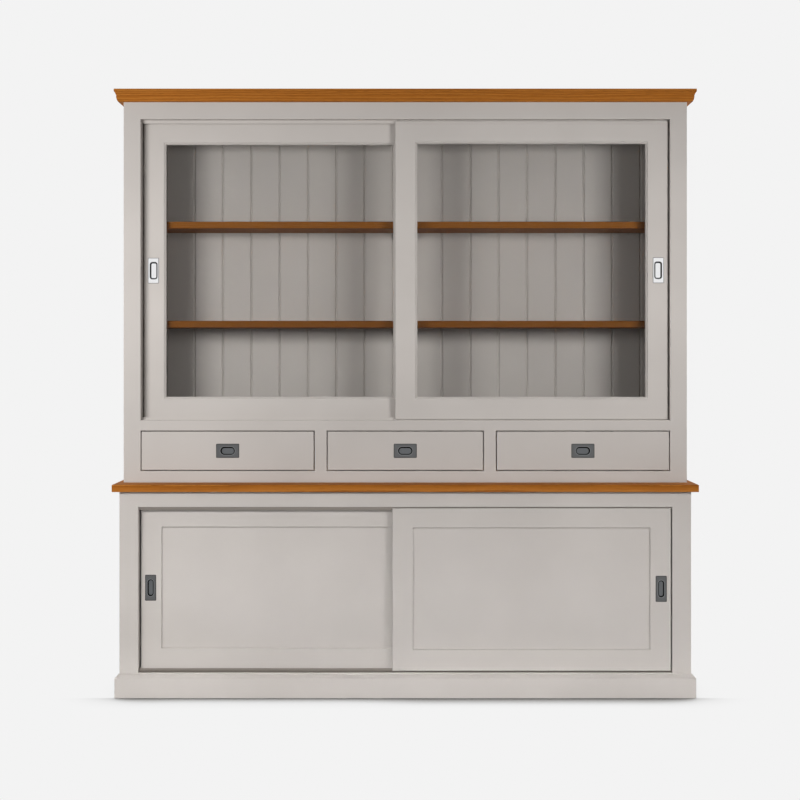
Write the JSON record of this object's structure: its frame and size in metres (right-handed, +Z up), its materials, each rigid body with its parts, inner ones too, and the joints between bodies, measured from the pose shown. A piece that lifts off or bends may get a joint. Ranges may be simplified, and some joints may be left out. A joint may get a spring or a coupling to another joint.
{
  "type": "dresser with hutch",
  "caption": "Painted dresser with an oak worktop and cornice: a hutch with glazed sliding doors, oak shelves and drawers over a base with panelled sliding doors.",
  "frame": {"origin": "on the floor, below the middle of the worktop", "axes": "+X to the right of someone facing the doors, +Y to the back, +Z up"},
  "size_m": [2.014, 0.48, 2.09],
  "materials": {
    "painted_wood": "satin paint",
    "oak": "oiled, golden brown",
    "drawer_wood": "bare, sanded",
    "glass": "clear float",
    "pewter_pull": "dark pewter, satin",
    "chrome_pull": "polished",
    "steel": "zinc plated",
    "bronze_track": "bronze anodised",
    "track": "satin, to match the paint",
    "nylon": "moulded"
  },
  "bodies": {
    "carcass": {"plinth": "painted_wood", "base_sides": "painted_wood", "base_floor": "painted_wood", "base_partition": "painted_wood", "base_shelves": "painted_wood", "base_back_panel": "painted_wood", "base_stiles": "painted_wood", "base_head_rail": "painted_wood", "base_sill_rail": "painted_wood", "hutch_sides": "painted_wood", "hutch_bottom_panel": "painted_wood", "hutch_deck": "painted_wood", "hutch_top_panel": "painted_wood", "hutch_back_boards": "painted_wood", "hutch_stiles": "painted_wood", "hutch_head_rail": "painted_wood", "hutch_sill_rail": "painted_wood", "hutch_bottom_rail": "painted_wood", "drawer_muntins": "painted_wood", "drawer_dividers": "painted_wood", "worktop": "oak", "hutch_shelf_upper": "oak", "hutch_shelf_lower": "oak", "cornice": "oak", "drawer_runners": "drawer_wood", "shelf_pegs": "steel", "shelf_centre_brackets": "steel", "base_tracks": "bronze_track", "hutch_tracks": "track"},
    "hutch_left_door": {"hutch_left_door_stiles": "painted_wood", "hutch_left_door_rails": "painted_wood", "hutch_left_door_glass": "glass", "hutch_left_door_glazing_beads": "painted_wood", "hutch_left_door_pull": "chrome_pull", "hutch_left_door_glides": "nylon"},
    "hutch_right_door": {"hutch_right_door_stiles": "painted_wood", "hutch_right_door_rails": "painted_wood", "hutch_right_door_glass": "glass", "hutch_right_door_glazing_beads": "painted_wood", "hutch_right_door_pull": "chrome_pull", "hutch_right_door_glides": "nylon"},
    "base_left_door": {"base_left_door_stiles": "painted_wood", "base_left_door_rails": "painted_wood", "base_left_door_panel": "painted_wood", "base_left_door_pull": "pewter_pull", "base_left_door_glides": "nylon"},
    "base_right_door": {"base_right_door_stiles": "painted_wood", "base_right_door_rails": "painted_wood", "base_right_door_panel": "painted_wood", "base_right_door_pull": "pewter_pull", "base_right_door_glides": "nylon"},
    "drawer_left": {"drawer_left_front": "painted_wood", "drawer_left_box": "drawer_wood", "drawer_left_pull": "pewter_pull"},
    "drawer_middle": {"drawer_middle_front": "painted_wood", "drawer_middle_box": "drawer_wood", "drawer_middle_pull": "pewter_pull"},
    "drawer_right": {"drawer_right_front": "painted_wood", "drawer_right_box": "drawer_wood", "drawer_right_pull": "pewter_pull"}
  },
  "joints": [
    {"name": "hutch_left_door_slide", "type": "slide", "parent": "carcass", "child": "hutch_left_door", "axis": [1, 0, 0], "range_m": [0, 0.878]},
    {"name": "hutch_right_door_slide", "type": "slide", "parent": "carcass", "child": "hutch_right_door", "axis": [-1, 0, 0], "range_m": [0, 0.878]},
    {"name": "base_left_door_slide", "type": "slide", "parent": "carcass", "child": "base_left_door", "axis": [1, 0, 0], "range_m": [0, 0.864]},
    {"name": "base_right_door_slide", "type": "slide", "parent": "carcass", "child": "base_right_door", "axis": [-1, 0, 0], "range_m": [0, 0.864]},
    {"name": "drawer_left_slide", "type": "slide", "parent": "carcass", "child": "drawer_left", "axis": [0, -1, 0], "range_m": [0, 0.24]},
    {"name": "drawer_middle_slide", "type": "slide", "parent": "carcass", "child": "drawer_middle", "axis": [0, -1, 0], "range_m": [0, 0.24]},
    {"name": "drawer_right_slide", "type": "slide", "parent": "carcass", "child": "drawer_right", "axis": [0, -1, 0], "range_m": [0, 0.24]}
  ]
}
